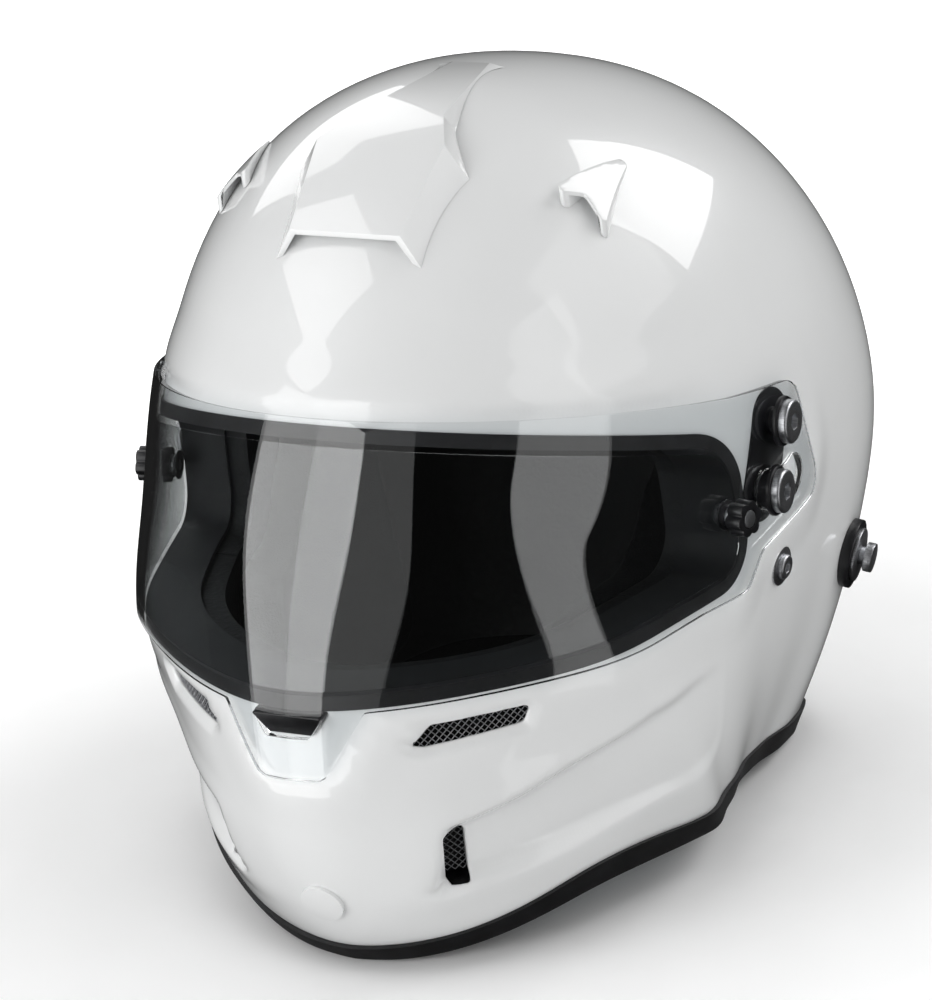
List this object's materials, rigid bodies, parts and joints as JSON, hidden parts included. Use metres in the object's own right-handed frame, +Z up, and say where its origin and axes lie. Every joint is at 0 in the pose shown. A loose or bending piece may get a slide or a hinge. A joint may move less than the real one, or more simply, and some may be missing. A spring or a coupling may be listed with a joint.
{
  "type": "auto racing helmet",
  "caption": "Full face auto racing helmet with hinged clear visor, vented chin bar, crown scoops, head restraint posts, padded liner and chin straps.",
  "frame": {"origin": "on the floor under the middle of the helmet's box, resting on its rubber edge", "axes": "+Z up, -Y the way the face looks, +X the wearer's left"},
  "size_m": [0.2594, 0.3325, 0.2859],
  "materials": {
    "outer_shell": "gloss white lacquer over fibre composite",
    "black_rubber": "satin black rubber",
    "clear_visor": "clear polycarbonate, hard coated",
    "film": "clear film, bonded round its edge",
    "vent_mesh": "fine diagonal woven mesh",
    "black_plastic": "satin black moulded nylon",
    "steel": "turned stainless steel",
    "ring_metal": "bright turned aluminium",
    "webbing": "black woven polyester webbing",
    "foam": "moulded expanded polystyrene, black",
    "pad_cloth": "dark brushed fire resistant cloth over foam"
  },
  "bodies": {
    "helmet": {"outer_shell": "outer_shell", "jaw_inlet_left": "outer_shell", "jaw_inlet_right": "outer_shell", "top_scoop": "outer_shell", "side_scoop_left": "outer_shell", "side_scoop_right": "outer_shell", "chin_cap": "outer_shell", "bottom_edge_trim": "black_rubber", "eye_port_gasket": "black_rubber", "chin_vent_mesh_left": "vent_mesh", "chin_vent_mesh_right": "vent_mesh", "jaw_vent_mesh_left": "vent_mesh", "jaw_vent_mesh_right": "vent_mesh", "rear_vent_mesh_left": "vent_mesh", "rear_vent_mesh_right": "vent_mesh", "pivot_plate_left": "black_plastic", "pivot_plate_right": "black_plastic", "pivot_washer_left": "black_plastic", "pivot_washer_right": "black_plastic", "guide_washer_left": "black_plastic", "guide_washer_right": "black_plastic", "catch_housing": "black_plastic", "restraint_base_left": "black_plastic", "restraint_base_right": "black_plastic", "pivot_screw_left": "steel", "pivot_screw_right": "steel", "guide_screw_left": "steel", "guide_screw_right": "steel", "strap_screw_left": "steel", "strap_screw_right": "steel", "strap_washer_left": "steel", "strap_washer_right": "steel", "pivot_backing_left": "steel", "pivot_backing_right": "steel", "restraint_post_left": "steel", "restraint_post_right": "steel", "restraint_nut_left": "steel", "restraint_nut_right": "steel", "restraint_ring_left": "ring_metal", "restraint_ring_right": "ring_metal", "strap_left": "webbing", "strap_right": "webbing", "liner_crown": "foam", "liner_chin": "foam", "crown_pad": "pad_cloth", "neck_roll": "pad_cloth", "chin_roll": "pad_cloth", "cheek_pad_left": "pad_cloth", "cheek_pad_right": "pad_cloth"},
    "visor_body": {"visor": "clear_visor", "anti_fog_film": "film", "tear_off_nut_left": "black_plastic", "tear_off_nut_right": "black_plastic", "tear_off_post_left": "steel", "tear_off_post_right": "steel"},
    "knob_left": {"tear_off_knob_left": "black_plastic"},
    "knob_right": {"tear_off_knob_right": "black_plastic"},
    "catch": {"visor_catch": "black_plastic"},
    "ring_near": {"strap_ring_near": "steel"},
    "ring_far": {"strap_ring_far": "steel"}
  },
  "joints": [
    {"name": "visor_swing", "type": "hinge", "parent": "helmet", "child": "visor_body", "pos_m": [0, 0.001, 0.163], "axis": [-1, 0, 0], "range_deg": [0, 44]},
    {"name": "knob_left_turn", "type": "hinge", "parent": "visor_body", "child": "knob_left", "pos_m": [0.11331, -0.035, 0.141], "axis": [0.9699, -0.2397, 0.0433], "continuous": true},
    {"name": "knob_right_turn", "type": "hinge", "parent": "visor_body", "child": "knob_right", "pos_m": [-0.11331, -0.035, 0.141], "axis": [-0.9699, -0.2397, 0.0433], "continuous": true},
    {"name": "catch_press", "type": "slide", "parent": "helmet", "child": "catch", "axis": [0, 1, 0], "range_m": [0, 0.003], "stiffness_N_per_m": 400, "springref_m": -0.002},
    {"name": "ring_near_swing", "type": "hinge", "parent": "helmet", "child": "ring_near", "pos_m": [0.052, 0.0057, 0.0208], "axis": [0, -1, 0], "range_deg": [0, 45]},
    {"name": "ring_far_swing", "type": "hinge", "parent": "helmet", "child": "ring_far", "pos_m": [0.0474, 0.0057, 0.0208], "axis": [0, 1, 0], "range_deg": [0, 90]}
  ]
}
